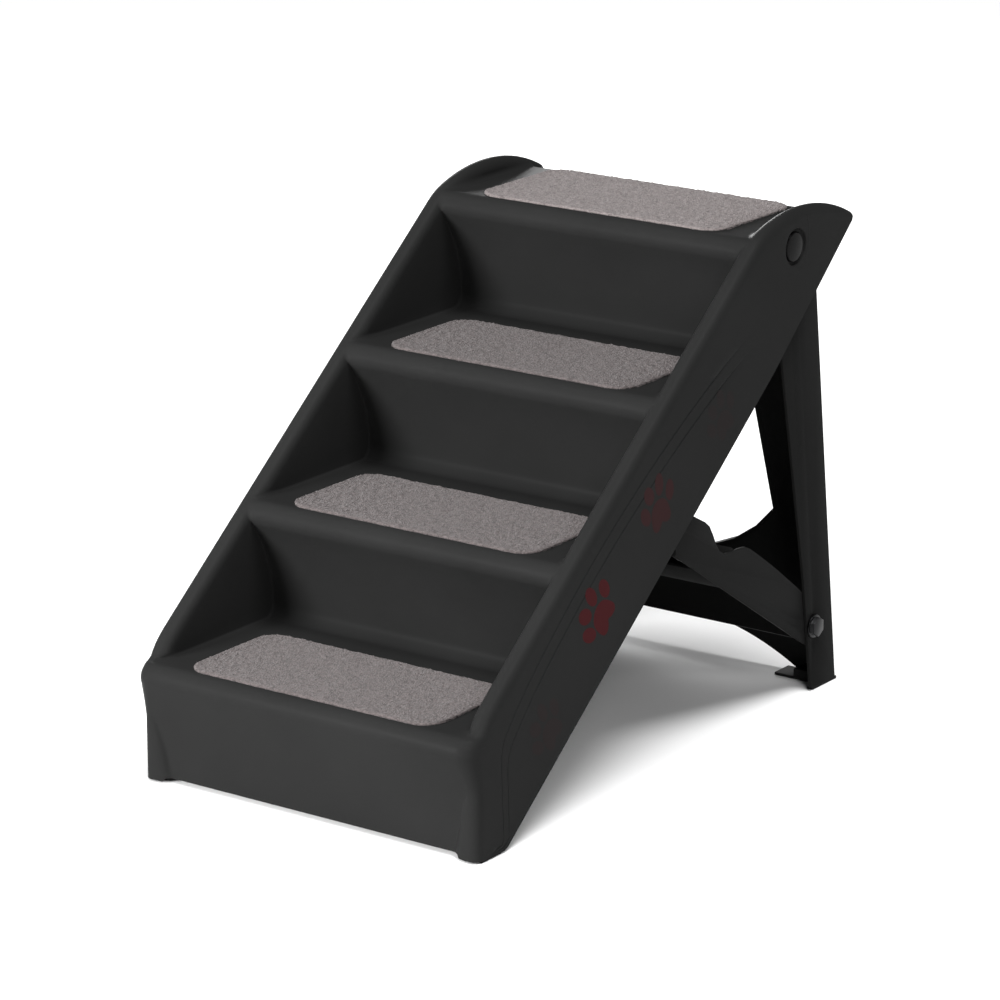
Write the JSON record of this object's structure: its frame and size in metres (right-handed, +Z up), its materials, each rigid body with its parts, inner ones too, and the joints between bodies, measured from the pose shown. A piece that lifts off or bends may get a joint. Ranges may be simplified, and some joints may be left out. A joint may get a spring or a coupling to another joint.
{
  "type": "pet stairs",
  "caption": "Folding pet stairs in black moulded plastic: rounded side rails, carpeted treads, a hinged rear leg frame and a folding support brace.",
  "frame": {"origin": "centre of the stance on the floor: middle of the width and depth, at floor height", "axes": "+X to the right for someone about to climb, +Y from the lowest step towards the rear legs, +Z up"},
  "size_m": [0.382, 0.6341, 0.4944],
  "materials": {
    "shell_plastic": "satin",
    "leg_plastic": "satin",
    "brace_plastic": "satin",
    "mat_fabric": "rough",
    "cap_plastic": "gloss",
    "steel": "brushed",
    "dark_steel": "satin",
    "rubber": "matte"
  },
  "bodies": {
    "stairs": {"stair_shell": "shell_plastic", "tread_mat_1": "mat_fabric", "tread_mat_2": "mat_fabric", "tread_mat_3": "mat_fabric", "tread_mat_4": "mat_fabric", "hinge_cap_right": "cap_plastic", "hinge_cap_left": "cap_plastic", "hinge_bolt_right": "steel", "hinge_bolt_left": "steel", "hinge_washer_right": "steel", "hinge_washer_left": "steel", "hinge_nut_right": "steel", "hinge_nut_left": "steel", "front_foot_right": "rubber", "front_foot_left": "rubber"},
    "leg_frame": {"leg_frame": "leg_plastic", "rear_foot_right": "rubber", "rear_foot_left": "rubber", "brace_bolt_right": "dark_steel", "brace_bolt_left": "dark_steel", "brace_washer_right": "steel", "brace_washer_left": "steel", "brace_nut_right": "steel", "brace_nut_left": "steel"},
    "support_brace": {"support_brace": "brace_plastic"}
  },
  "joints": [
    {"name": "leg_hinge", "type": "hinge", "parent": "stairs", "child": "leg_frame", "pos_m": [0, 0.20888, 0.46], "axis": [-1, 0, 0], "range_deg": [0, 49.5]},
    {"name": "brace_pivot", "type": "hinge", "parent": "leg_frame", "child": "support_brace", "pos_m": [0, 0.26915, 0.067], "axis": [-1, 0, 0], "range_deg": [0, 48.6]}
  ],
  "couplings": [
    {"joint": "brace_pivot", "follows": "leg_hinge", "ratio": 0.98}
  ]
}
